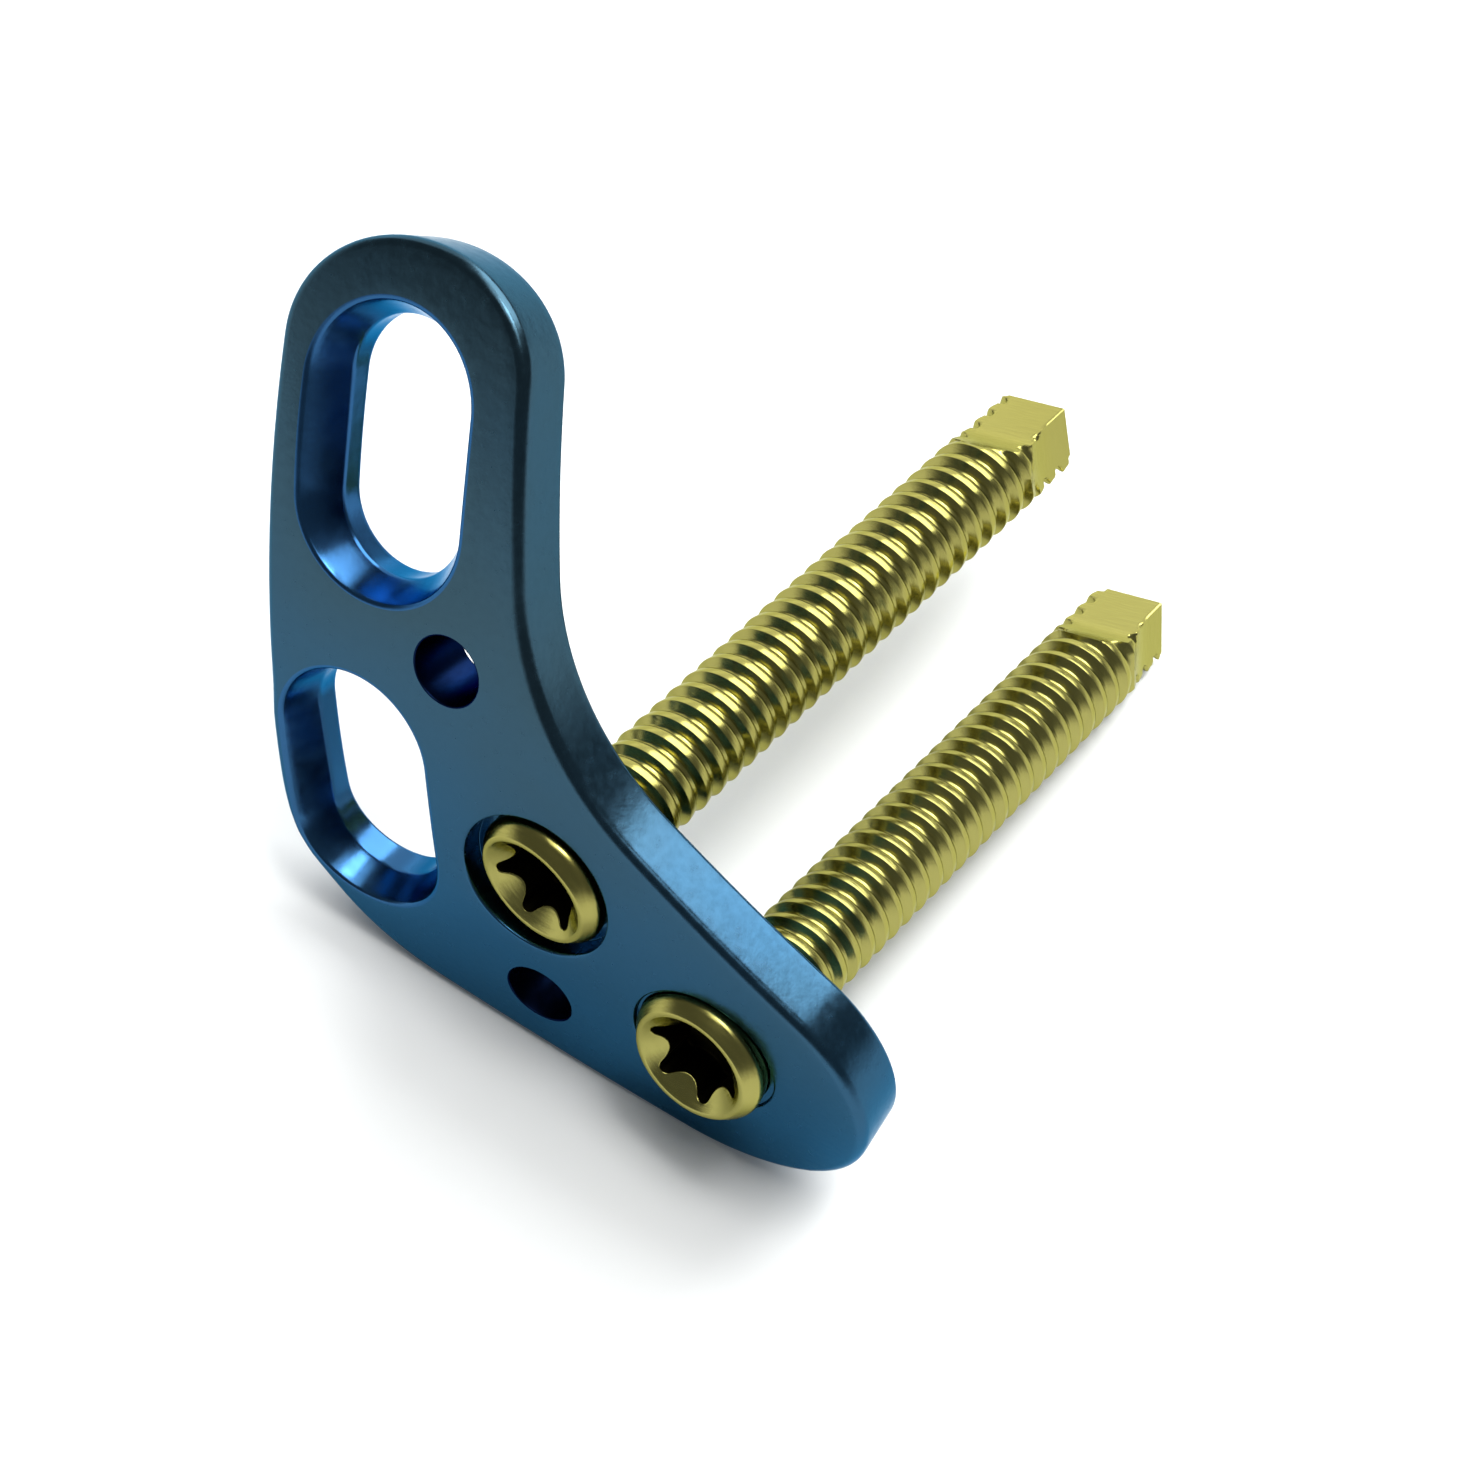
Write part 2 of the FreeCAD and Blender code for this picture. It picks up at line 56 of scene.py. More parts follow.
Colour = tuple[float, float, float]
Span = tuple[float, float]

LOG = logging.getLogger("bone_plate")
MM = 0.001
FULL_TURN = 2 * math.pi
UNIT_SPAN: Span = (0.0, 1.0)
MERGE_DISTANCE = 2e-5
# how often a point is moved until it meets a face
SETTLING_STEPS = 14
# height of a triangle with sides of 1
ROW_HEIGHT = math.sqrt(0.75)
# share of a sheet's spacing that its grid keeps off a rim
RIM_MARGIN = 0.6
# how near two points of a sheet count as one
SAME_POINT = 1e-7
# how many parts a long search for distances is cut into
SEARCH_PARTS = 8
# cosine past which a cut faces away
FACING_AWAY = 0.1
# the plate's own frame as the part rests: its place, then its turns about x, y and z in degrees
REST_PLACE = (-3.25289, -12.67464, 9.79609)
REST_TURN = (72.59060135, -21.50035887, 13.15497734)


class Slot(Enum):
    """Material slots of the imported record."""

    PLATE = "plate_anodised"
    SCREW = "screw_anodised"


class PlatePaint(IntEnum):
    """The plate's finishes, in the order of its materials."""

    FACE = 0
    FLARE = 1
    # painted shade: the wire holes' walls are coloured near black for the shade inside them
    PAINTED_BORE_SHADE = 2


class ScrewPaint(IntEnum):
    """A screw's finishes, in the order of its materials."""

    METAL = 0
    # painted shade: the drive recess is coloured near black for the shade inside it
    PAINTED_DRIVE_SHADE = 1


def unit(vectors: Array) -> Array:
    """Vectors of the last axis divided by their own length.

    Args:
        vectors: Array whose last axis holds the components.

    Returns:
        An array of the same shape.
    """
    return vectors / np.linalg.norm(vectors, axis=-1, keepdims=True)


def blend(first: Array, second: Array, share: Array) -> Array:
    """Points on the straight way from one set of points to another.

    Args:
        first: Points where the way starts, (n, 3).
        second: Points where it ends, (n, 3).
        share: How far along the way each new row lies, (rows,).

    Returns:
        Rows of points, (rows, n, 3).
    """
    return first + (second - first) * share[:, None, None]


@dataclass(frozen=True)
class Pose:
    """An origin with three axes, which are the columns of a matrix."""

    origin: Array
    axes: Array

    def place(self, points: Array) -> Array:
        """Points of this frame in the frame round it: origin plus axes times coordinates."""
        return self.origin + points @ self.axes.T

    def read(self, points: Array) -> Array:
        """Points of the frame round it in this frame."""
        return (points - self.origin) @ self.axes

    def raised(self, height: float) -> "Pose":
        """This frame moved along its own z."""
        return Pose(self.origin + self.axes[:, 2] * height, self.axes)

    def carry(self, inner: "Pose") -> "Pose":
        """A frame that stands in this one, given in the frame round this one."""
        return Pose(self.place(inner.origin), self.axes @ inner.axes)

    @staticmethod
    def standing(place: Sequence[float], turns: Sequence[float]) -> "Pose":
        """A frame at a place, turned about the fixed x, then y, then z axis.

        Args:
            place: Where its origin stands.
            turns: Angles about x, y and z, in degrees.

        Returns:
            The frame.
        """
        turn = Euler([math.radians(angle) for angle in turns]).to_matrix()
        return Pose(np.array(place), np.array(turn))


@dataclass
class Skin:
    """Patches of surface that are joined into one closed mesh.

    A patch takes the finish whose number paint holds when it is added.
    """

    points: list[Array] = field(default_factory=list)
    faces: list[Array] = field(default_factory=list)
    paints: list[Array] = field(default_factory=list)
    count: int = 0
    paint: int = 0

    def add(self, points: Array, faces: Array) -> None:
        """Add triangles over points.

        Args:
            points: Corner points, (n, 3).
            faces: Corner numbers, (m, 3).
        """
        self.points.append(points.reshape(-1, 3))
        self.faces.append(faces + self.count)
        self.paints.append(np.full(len(faces), self.paint, dtype=np.int32))
        self.count += len(self.points[-1])

    def add_grid(self, grid: Array, climb: int = 0) -> None:
        """Add a band of rows of points whose last column meets the first.

        Each cell of four neighbouring points becomes two triangles.

        Args:
            grid: Points, (rows, columns, 3).
            climb: How many rows further on the last column meets the first.
        """
        rows, columns = grid.shape[:2]
        index = np.arange(rows * columns).reshape(rows, columns)
        ahead = np.roll(index, -1, axis=1)
        ahead[:, -1] = index[np.minimum(np.arange(rows) + climb, rows - 1), 0]
        first = np.stack([index[:-1], ahead[:-1], ahead[1:]], axis=-1)
        second = np.stack([index[:-1], ahead[1:], index[1:]], axis=-1)
        self.add(grid, np.concatenate([first.reshape(-1, 3), second.reshape(-1, 3)]))

    def add_cap(self, centre: Array, ring: Array) -> None:
        """Close a ring of points with triangles that meet at a centre.

        Args:
            centre: The middle point, (3,).
            ring: Points round it, (n, 3).
        """
        index = np.arange(len(ring))
        middle = np.full(len(ring), len(ring))
        faces = np.stack([middle, index, np.roll(index, -1)], axis=-1)
        self.add(np.vstack([ring, centre]), faces)

    def build(self, name: str, pose: Pose, crease: float) -> bpy.types.Object:
        """Join the patches, merge their shared edges and make the mesh object.

        Args:
            name: Name of the new object.
            pose: Where the points' own frame stands in the part's frame.
            crease: Angle in degrees past which an edge is sharp.

        Returns:
            The object, at the origin, with its place in its mesh.
        """
        points = pose.place(np.concatenate(self.points)) * MM
        corners = np.concatenate(self.faces).astype(np.int32)
        mesh = bpy.data.meshes.new(name)
        mesh.vertices.add(len(points))
        mesh.vertices.foreach_set("co", points.astype(np.float32).ravel())
        mesh.loops.add(corners.size)
        mesh.loops.foreach_set("vertex_index", corners.ravel())
        mesh.polygons.add(len(corners))
        starts = np.arange(0, corners.size, 3, dtype=np.int32)
        mesh.polygons.foreach_set("loop_start", starts)
        mesh.polygons.foreach_set("use_smooth", np.ones(len(corners), dtype=bool))
        mesh.polygons.foreach_set("material_index", np.concatenate(self.paints))
        mesh.update(calc_edges=True)
        shell = bmesh.new()
        shell.from_mesh(mesh)
        bmesh.ops.remove_doubles(shell, verts=shell.verts, dist=MERGE_DISTANCE * MM)
        bmesh.ops.recalc_face_normals(shell, faces=shell.faces)
        shell.to_mesh(mesh)
        open_edges = sum(not edge.is_manifold for edge in shell.edges)
        volume = shell.calc_volume(signed=True) / MM ** 3
        shell.free()
        mesh.set_sharp_from_angle(angle=math.radians(crease))
        piece = bpy.data.objects.new(name, mesh)
        bpy.context.scene.collection.objects.link(piece)
        LOG.info("%s: %d triangles, %.1f mm3, %d open edges",
                 name, len(mesh.polygons), volume, open_edges)
        return piece


def soften(corners: Sequence[Array], roundings: Sequence[float], runs: Sequence[int],
           steps: int) -> Array:
    """Rows of points along a bent section whose corners are rounded.

    Each inner corner becomes a quadratic curve that starts and ends its rounding's length away
    on either side: (1-t)^2 times the start, 2t(1-t) times the corner and t^2 times the end.

    Args:
        corners: Points of the section for every column, each (n, 3).
        roundings: Length of the rounding on either side of each inner corner.
        runs: Rows on each straight run.
        steps: Rows in each curve.

    Returns:
        Rows of points, (rows, n, 3).
    """
    t = np.linspace(0, 1, steps + 1)[:, None, None]
    rows = []
    last = corners[0]
    for i, rounding in enumerate(roundings, start=1):
        start = corners[i] + unit(corners[i - 1] - corners[i]) * rounding
        end = corners[i] + unit(corners[i + 1] - corners[i]) * rounding
        rows.append(blend(last, start, np.linspace(0, 1, runs[i - 1] + 1))[:-1])
        curve = start * (1 - t) ** 2 + corners[i] * 2 * t * (1 - t) + end * t ** 2
        rows.append(curve[:-1])
        last = end
    rows.append(blend(last, corners[-1], np.linspace(0, 1, runs[-1] + 1)))
    return np.concatenate(rows)


def inside(points: Array, loop: Array) -> Array:
    """Which points lie inside a closed loop, by counting its crossings of a ray along x.

    Args:
        points: Points to test, (n, 2).
        loop: Corners of the loop, (m, 2).

    Returns:
        True for each point inside, (n,).
    """
    start, end = loop, np.roll(loop, -1, axis=0)
    x, y = points[:, :1], points[:, 1:]
    spans = (start[:, 1] > y) != (end[:, 1] > y)
    rise = np.where(spans, end[:, 1] - start[:, 1], 1.0)
    crossing = start[:, 0] + (y - start[:, 1]) * (end[:, 0] - start[:, 0]) / rise
    return (spans & (x < crossing)).sum(axis=1) % 2 == 1


def on_sheet(points: Array, outer: Array, holes: Sequence[Array]) -> Array:
    """Which points lie inside a sheet's rim and in none of its holes.

    Args:
        points: Points to test, (n, 2).
        outer: Rim of the sheet, (m, 2).
        holes: Rims of its holes, each (k, 2).

    Returns:
        True for each point on the sheet, (n,).
    """
    kept = inside(points, outer)
    for hole in holes:
        kept &= ~inside(points, hole)
    return kept


def fill(outer: Array, holes: list[Array], spacing: float) -> tuple[Array, Array]:
    """Triangles over a flat sheet with holes, on the rims' points and a staggered grid.

    Args:
        outer: Rim of the sheet, (n, 2).
        holes: Rims of its holes, each (m, 2).
        spacing: Distance between the grid's points.

    Returns:
        The points, (k, 2), and the triangles' corner numbers, (t, 3).
    """
    loops = [outer] + holes
    rims = np.vstack(loops)
    low, high = outer.min(axis=0), outer.max(axis=0)
    x, y = np.meshgrid(np.arange(low[0], high[0], spacing),
                       np.arange(low[1], high[1], spacing * ROW_HEIGHT))
    x[1::2] += spacing / 2
    grid = np.stack([x.ravel(), y.ravel()], axis=-1)
    grid = grid[on_sheet(grid, outer, holes)]
    nearest = np.concatenate([np.linalg.norm(part[:, None] - rims, axis=-1).min(axis=1)
                              for part in np.array_split(grid, SEARCH_PARTS)])
    points = np.vstack([rims, grid[nearest > spacing * RIM_MARGIN]])
    edges = []
    first = 0
    for loop in loops:
        index = np.arange(len(loop))
        edges.append(np.stack([index, np.roll(index, -1)], axis=-1) + first)
        first += len(loop)
    found = delaunay_2d_cdt(list(map(Vector, points.tolist())), np.vstack(edges).tolist(),
                            [], 0, SAME_POINT)
    faces = np.array(found[2])
    return points, faces[on_sheet(points[faces].mean(axis=1), outer, holes)]


@dataclass(frozen=True)
class Bend:
    """The cylinder that the strip is bent on."""

    radius: float

    def place(self, x: Array, arc: Array, depth: Array | float) -> Array:
        """Points of the bent plate from their place on it laid flat.

        The angle is arc over radius; y is (radius - depth) times its sine, and z the same times
        its cosine, less radius.

        Args:
            x: Place along the bend axis, (n,).
            arc: Arc length on the front face, (n,).
            depth: Depth below the front face.

        Returns:
            Points in the plate's frame, (n, 3).
        """
        turn = arc / self.radius
        reach = self.radius - depth
        return np.stack([x + 0 * reach, reach * np.sin(turn), reach * np.cos(turn) - self.radius],
                        axis=-1)

    def flatten(self, points: Array) -> tuple[Array, Array]:
        """Place laid flat and depth of points: the way back from place.

        Args:
            points: Points in the plate's frame, (n, 3).

        Returns:
            Places laid flat, (n, 2), and depths, (n,).
        """
        y, z = points[:, 1], points[:, 2] + self.radius
        flat = np.stack([points[:, 0], self.radius * np.arctan2(y, z)], axis=-1)
        return flat, self.radius - np.hypot(y, z)

    def pose(self, x: float, arc: float, lean_x: float = 0.0, lean_arc: float = 0.0) -> Pose:
        """Frame on the front face with z outward, leaned by two angles in degrees.

        Args:
            x: Place of the origin along the bend axis.
            arc: Its arc length on the front face.
            lean_x: Lean of the inward axis towards +x.
            lean_arc: Lean of the inward axis up the arm.

        Returns:
            The frame, in the plate's frame.
        """
        turn = arc / self.radius
        outward = np.array([0, math.sin(turn), math.cos(turn)])
        upward = np.array([0, math.cos(turn), -math.sin(turn)])
        origin = outward * self.radius + np.array([x, 0, -self.radius])
        inward = np.array([math.tan(math.radians(lean_x)), 0, 0]) - outward
        inward += upward * math.tan(math.radians(lean_arc))
        axis = -unit(inward)
        across = unit(np.cross(upward, axis))
        return Pose(origin, np.stack([across, np.cross(axis, across), axis], axis=-1))


def edge_directions(flat: Array) -> Array:
    """Unit directions that point out of a counterclockwise loop at each of its points.

    The direction is the way from the point before to the point after, turned clockwise.

    Args:
        flat: Points of the loop, (n, 2).

    Returns:
        Directions, (n, 2).
    """
    along = np.roll(flat, -1, axis=0) - np.roll(flat, 1, axis=0)
    return unit(np.stack([along[:, 1], -along[:, 0]], axis=-1))


@dataclass(frozen=True)
class Bore:
    """A straight opening along the z axis of its frame.

    Its outline is a stadium, long along y, or a circle where travel is 0. Its half width
    follows the height through the points of heights and widths, and goes on in their line.
    """

    pose: Pose
    heights: tuple[float, ...]
    widths: tuple[float, ...]
    travel: float = 0.0

    def outline(self, columns: int) -> tuple[Array, Array]:
        """Centres and directions from which the outline is swept, counterclockwise.

        Args:
            columns: Points on each of the four quarters of the outline.

        Returns:
            Centres, (n, 2), and unit directions, (n, 2).
        """
        turn = np.linspace(0, math.pi, 2 * columns, endpoint=self.travel > 0)
        half = self.travel / 2
        bow = np.stack([np.cos(turn), np.sin(turn)], axis=-1)
        directions = [bow, -bow]
        centres = [np.tile([0, half], (len(bow), 1)), np.tile([0, -half], (len(bow), 1))]
        if half > 0:
            share = np.linspace(half, -half, columns // 2 + 2)[1:-1]
            side = np.stack([np.zeros_like(share), share], axis=-1)
            left = np.tile([-1.0, 0.0], (len(share), 1))
            directions = [bow, left, -bow, -left]
            centres = [centres[0], side, centres[1], -side]
        return np.vstack(centres), np.vstack(directions)

    def wall(self, height: Array, columns: int) -> Array:
        """Points of the wall: centres plus directions times the half width at each height.

        Args:
            height: Height in the bore's frame for every column, (n,).
            columns: Points on each quarter of the outline.

        Returns:
            Points in the plate's frame, (n, 3).
        """
        centres, directions = self.outline(columns)
        width = np.interp(height, self.heights, self.widths)
        flat = centres + directions * width[:, None]
        return self.pose.place(np.column_stack([flat, height]))

    def at_depth(self, bend: Bend, depth: float, columns: int) -> Array:
        """Points where the wall meets the cylinder at a depth below the front face.

        The height is moved by what the point's depth is off, over and over.

        Args:
            bend: The plate's bend.
            depth: Depth to meet.
            columns: Points on each quarter of the outline.

        Returns:
            Points in the plate's frame, (n, 3).
        """
        height = np.full(len(self.outline(columns)[0]), -float(depth))
        for _ in range(SETTLING_STEPS):
            height += bend.flatten(self.wall(height, columns))[1] - depth
        return self.wall(height, columns)

    def at_level(self, other: Pose, level: float, columns: int) -> Array:
        """Points where the wall meets the plane at a height of another frame.

        Args:
            other: The other frame.
            level: Height in it.
            columns: Points on each quarter of the outline.

        Returns:
            Points in the plate's frame, (n, 3).
        """
        height = np.full(len(self.outline(columns)[0]), level)
        for _ in range(SETTLING_STEPS):
            height -= other.read(self.wall(height, columns))[:, 2] - level
        return self.wall(height, columns)


@dataclass(frozen=True)
class SlotOpening:
    """Sizes of a slot with a flared mouth: place on the front face and width of the mouth."""

    x: float
    arc: float
    mouth: float
    width: float = 4.5
    travel: float = 3.7
    flare_depth: float = 1.4
    rim: float = 0.12
    throat: float = 0.1
    paint: PlatePaint = PlatePaint.FLARE

    def section(self, bend: Bend, thickness: float, columns: int) -> list[Array]:
        """Corners of the wall from front to back: mouth's rim, throat and back rim.

        Args:
            bend: The plate's bend.
            thickness: The plate's thickness.
            columns: Points on each quarter of the outline.

        Returns:
            Rings of points in the plate's frame, each (n, 3).
        """
        slope = (self.mouth - self.width) / 2 / self.flare_depth
        reach = thickness * 2
        heights = (-reach, -self.flare_depth, reach)
        widths = (self.width / 2, self.width / 2,
                  self.width / 2 + slope * (reach + self.flare_depth))
        bore = Bore(bend.pose(self.x, self.arc), heights, widths, self.travel)
        count = len(bore.outline(columns)[0])
        return [bore.at_depth(bend, 0.0, columns),
                bore.wall(np.full(count, -self.flare_depth), columns),
                bore.at_depth(bend, thickness, columns)]

    def roundings(self) -> list[float]:
        """Lengths of the roundings at those corners."""
        return [self.rim, self.throat, self.rim]


@dataclass(frozen=True)
class WireHole:
    """Sizes of a small hole that narrows slightly to the back."""

    x: float
    arc: float
    diameter: float = 2.35
    back_diameter: float = 2.0
    rim: float = 0.05
    # the wire hole's wall takes the painted shade finish
    paint: PlatePaint = PlatePaint.PAINTED_BORE_SHADE

    def section(self, bend: Bend, thickness: float, columns: int) -> list[Array]:
        """Corners of the wall from front to back: front rim and back rim.

        Args:
            bend: The plate's bend.
            thickness: The plate's thickness.
            columns: Points on each quarter of the outline.

        Returns:
            Rings of points in the plate's frame, each (n, 3).
        """
        bore = Bore(bend.pose(self.x, self.arc), (-thickness, 0.0),
                    (self.back_diameter / 2, self.diameter / 2))
        return [bore.at_depth(bend, 0.0, columns), bore.at_depth(bend, thickness, columns)]

    def roundings(self) -> list[float]:
        """Lengths of the roundings at those corners."""
        return [self.rim, self.rim]


@dataclass(frozen=True)
class TipFlat:
    """A flat cut on the tip: its normal's angle, its distance from the axis and its length.

    Past the length the cut runs out along an arc of the radius runout.
    """

    turn: float
    height: float
    length: float
    runout: float

    def limit(self, turn: Array, from_tip: Array) -> Array:
        """Distance from the axis to the cut, at an angle and a distance from the tip.

        The flat lies at h / cos(a), with a the angle from its normal. Past its length, b on,
        h grows by R - sqrt(R^2 - b^2), with R the radius of the run-out.

        Args:
            turn: Angle about the axis.
            from_tip: Distance from the tip's end.

        Returns:
            Distances of the same shape; far out where the cut faces away.
        """
        past = np.clip(from_tip - self.length, 0, self.runout)
        level = self.height + self.runout - np.sqrt(self.runout ** 2 - past ** 2)
        facing = np.cos(turn - math.radians(self.turn))
        reach = level / np.maximum(facing, FACING_AWAY)
        return np.where(facing > FACING_AWAY, reach, np.inf)


@dataclass(frozen=True)
class ScrewSizes:
    """Sizes that both locking screws share."""

    length: float = 27.0
    thread_diameter: float = 3.5
    core_diameter: float = 2.9
    pitch: float = 0.8
    head_diameter: float = 4.85
    face_diameter: float = 4.1
    shoulder_depth: float = 0.5
    head_length: float = 3.0
    head_taper: float = 15.3
    neck_length: float = 0.9
    neck_slope_length: float = 0.25
    tip_length: float = 0.15
    tip_diameter: float = 3.2
    drive_depth: float = 1.7
    drive_across_lobes: float = 3.35
    drive_across_valleys: float = 2.4
    drive_lobe_radius: float = 0.26
    drive_mouth_diameter: float = 3.8
    drive_mouth_slope: float = 40.0
    lobes: int = 6

    def head_end_radius(self) -> float:
        """Radius of the head's cone where it meets the neck."""
        cone = self.head_length - self.shoulder_depth
        return self.head_diameter / 2 - cone * math.tan(math.radians(self.head_taper))


@dataclass(frozen=True)
class LockOpening:
    """Sizes of a locking hole: place, lean, its screw's stand-out and the gap round it."""

    x: float
    arc: float
    lean_x: float
    lean_arc: float
    proud: float
    gap: float
    screw: ScrewSizes = ScrewSizes()
    clearance: float = 0.03
    margin: float = 0.08
    rim: float = 0.12
    ledge: float = 0.03
    back: float = 0.1
    paint: PlatePaint = PlatePaint.FACE

    def screw_pose(self, bend: Bend) -> Pose:
        """Frame of the screw in this hole, in the plate's frame."""
        return bend.pose(self.x, self.arc, self.lean_x, self.lean_arc).raised(self.proud)

    def section(self, bend: Bend, thickness: float, columns: int) -> list[Array]:
        """Corners of the wall from front to back: rim, relief's foot, seat and back rim.

        Args:
            bend: The plate's bend.
            thickness: The plate's thickness.
            columns: Points on each quarter of the outline.

        Returns:
            Rings of points in the plate's frame, each (n, 3).
        """
        square = bend.pose(self.x, self.arc)
        leaned = bend.pose(self.x, self.arc, self.lean_x, self.lean_arc)
        widest = self.screw.head_diameter / 2
        tilt = math.acos(float(square.axes[:, 2] @ leaned.axes[:, 2]))
        floor = -(self.screw.shoulder_depth - self.proud + widest * math.sin(tilt)
                  + self.margin)
        relief = Bore(square, (0.0,), (widest + self.gap,))
        way = self.screw.thread_diameter / 2 + self.clearance
        end = self.screw.head_end_radius() + self.clearance
        slope = math.tan(math.radians(self.screw.head_taper))
        foot = self.proud - self.screw.head_length + (way - end) / slope
        top = foot + self.screw.head_length
        seat = Bore(leaned, (foot, top), (way, way + (top - foot) * slope))
        return [relief.at_depth(bend, 0.0, columns), relief.at_level(square, floor, columns),
                seat.at_level(square, floor, columns), seat.at_depth(bend, thickness, columns)]

    def roundings(self) -> list[float]:
        """Lengths of the roundings at those corners."""
        return [self.rim, self.ledge, self.ledge, self.back]


@dataclass(frozen=True)
class OutlineArc:
    """One arc of the outline laid flat; a negative radius bends inward."""

    x: float
    y: float
    radius: float


Opening = SlotOpening | WireHole | LockOpening


@dataclass
class BonePlate:
    """The bent L-shaped strip with two slots, two wire holes and two locking holes."""

    pose: Pose
    thickness: float = 2.2
    bend: Bend = Bend(37.8)
    front_rounding: float = 0.36
    back_rounding: float = 0.2
    land: float = 0.05
    arcs: tuple[OutlineArc, ...] = (OutlineArc(x=-1.51, y=12.77, radius=4.46),
                                    OutlineArc(x=2.04, y=-2.88, radius=8.2),
                                    OutlineArc(x=9.71, y=-9.62, radius=5.18),
                                    OutlineArc(x=14.64, y=7.54, radius=-11.19))
    slots: tuple[SlotOpening, ...] = (SlotOpening(x=-1.84, arc=9.5, mouth=6.08),
                                      SlotOpening(x=-2.98, arc=-2.53, mouth=5.62))
    wire_holes: tuple[WireHole, ...] = (WireHole(x=0.85, arc=3.26), WireHole(x=3.01, arc=-8.87))
    upper_lock: LockOpening = LockOpening(x=3.65, arc=-3.82, lean_x=8.3, lean_arc=5.4,
                                          proud=0.12, gap=0.24)
    lower_lock: LockOpening = LockOpening(x=9.23, arc=-8.61, lean_x=4.3, lean_arc=-7.1,
                                          proud=0.73, gap=0.1)
    outline_step: float = 0.18
    columns: int = 22
    spacing: float = 0.35
    crease: float = 30.0
    opening_rows: int = 6
    rounding_rows: int = 5
    front_rows: int = 10
    side_rows: int = 6
    back_rows: int = 6
    smoothing_passes: int = 12

    def outline(self) -> Array:
        """Outline laid flat: arcs joined by the lines that touch them, counterclockwise.

        Each line's ends lie at the centre plus the radius times the line's outward normal, which
        leans from the way between the centres by the difference of the radii over its length.
        A height y on the drawing lies at the arc length radius times the arctangent of y over
        radius, because the walls point at the bend's axis.

        Returns:
            Points, (n, 2), as x and arc length.
        """
        centres = np.array([[arc.x, arc.y] for arc in self.arcs])
        radii = np.array([arc.radius for arc in self.arcs])
        ways = centres - np.roll(centres, 1, axis=0)
        lengths = np.linalg.norm(ways, axis=1)
        lean = (np.roll(radii, 1) - radii) / lengths
        along = ways / lengths[:, None]
        side = np.stack([along[:, 1], -along[:, 0]], axis=-1)
        normals = along * lean[:, None] + side * np.sqrt(1 - lean ** 2)[:, None]
        parts = []
        for i in range(len(self.arcs)):
            after = (i + 1) % len(self.arcs)
            first = math.atan2(*normals[i][::-1])
            sweep = (math.atan2(*normals[after][::-1]) - first) % FULL_TURN
            if radii[i] < 0:
                sweep -= FULL_TURN
            count = math.ceil(abs(sweep * radii[i]) / self.outline_step)
            turn = first + sweep * np.arange(count + 1) / count
            bow = centres[i] + radii[i] * np.stack([np.cos(turn), np.sin(turn)], axis=-1)
            end = centres[after] + radii[after] * normals[after]
            steps = math.ceil(np.linalg.norm(end - bow[-1]) / self.outline_step)
            share = np.arange(1, steps) / steps
            parts += [bow, bow[-1] + (end - bow[-1]) * share[:, None]]
        points = np.vstack(parts)
        points[:, 1] = self.bend.radius * np.arctan(points[:, 1] / self.bend.radius)
        return points

    def openings(self) -> list[Opening]:
        """All six openings."""
        return [*self.slots, *self.wire_holes, self.upper_lock, self.lower_lock]

    def add_opening(self, skin: Skin, opening: Opening) -> tuple[Array, Array]:
        """Add an opening's wall, with the strips of face that round into it.

        Args:
            skin: Surface that the wall is added to.
            opening: The opening.

        Returns:
            Its rims on the front and on the back face, laid flat, (n, 2) each.
        """
        corners = opening.section(self.bend, self.thickness, self.columns)
        roundings = opening.roundings()
        rims = []
        for corner, rounding, depth in ((corners[0], roundings[0], 0.0),
                                        (corners[-1], roundings[-1], self.thickness)):
            flat = self.bend.flatten(corner)[0]
            rim = flat + edge_directions(flat) * rounding
            rims.append(rim)
            shell = self.bend.place(rim[:, 0], rim[:, 1], depth)
            corners = [shell, *corners] if depth == 0 else [*corners, shell]
        runs = [1] + [self.opening_rows] * (len(roundings) - 1) + [1]
        skin.paint = opening.paint
        skin.add_grid(soften(corners, roundings, runs, self.rounding_rows))
        skin.paint = PlatePaint.FACE
        return rims[0], rims[1]

    def add_edge(self, skin: Skin, rims: list[Array]) -> tuple[Array, Array]:
        """Add the strip's side: front rounding, wall square to the bend and back rounding.

        A rounding lies inset by r(1 - sin a) and deep by r(1 - cos a). Where a mouth comes near
        the edge, the front rounding shrinks to what is left.

        Args:
            skin: Surface that the side is added to.
            rims: Rims of the openings on the front face.

        Returns:
            The rims of the front and of the back face, laid flat, (n, 2) each.
        """
        flat = self.outline()
        away = edge_directions(flat)
        near = np.linalg.norm(flat[:, None] - np.vstack(rims), axis=-1).min(axis=1)
        front = np.minimum(self.front_rounding, near - self.land)
        for _ in range(self.smoothing_passes):
            front = np.minimum(front, (np.roll(front, 1) + front + np.roll(front, -1)) / 3)
        back = self.back_rounding
        quarter = np.linspace(0, math.pi / 2, self.front_rows + 1)[:, None]
        inset = front * (1 - np.sin(quarter))
        depth = front * (1 - np.cos(quarter))
        share = np.linspace(0, 1, self.side_rows + 1)[1:-1, None]
        wall = front + (self.thickness - back - front) * share
        corner = np.linspace(0, math.pi / 2, self.back_rows + 1)[:, None]
        inset = np.vstack([inset, 0 * wall, back * (1 - np.cos(corner)) + 0 * front])
        depth = np.vstack([depth, wall,
                           self.thickness - back * (1 - np.sin(corner)) + 0 * front])
        x = flat[:, 0] - away[:, 0] * inset
        arc = flat[:, 1] - away[:, 1] * inset
        skin.add_grid(self.bend.place(x, arc, depth))
        return (np.stack([x[0], arc[0]], axis=-1), np.stack([x[-1], arc[-1]], axis=-1))

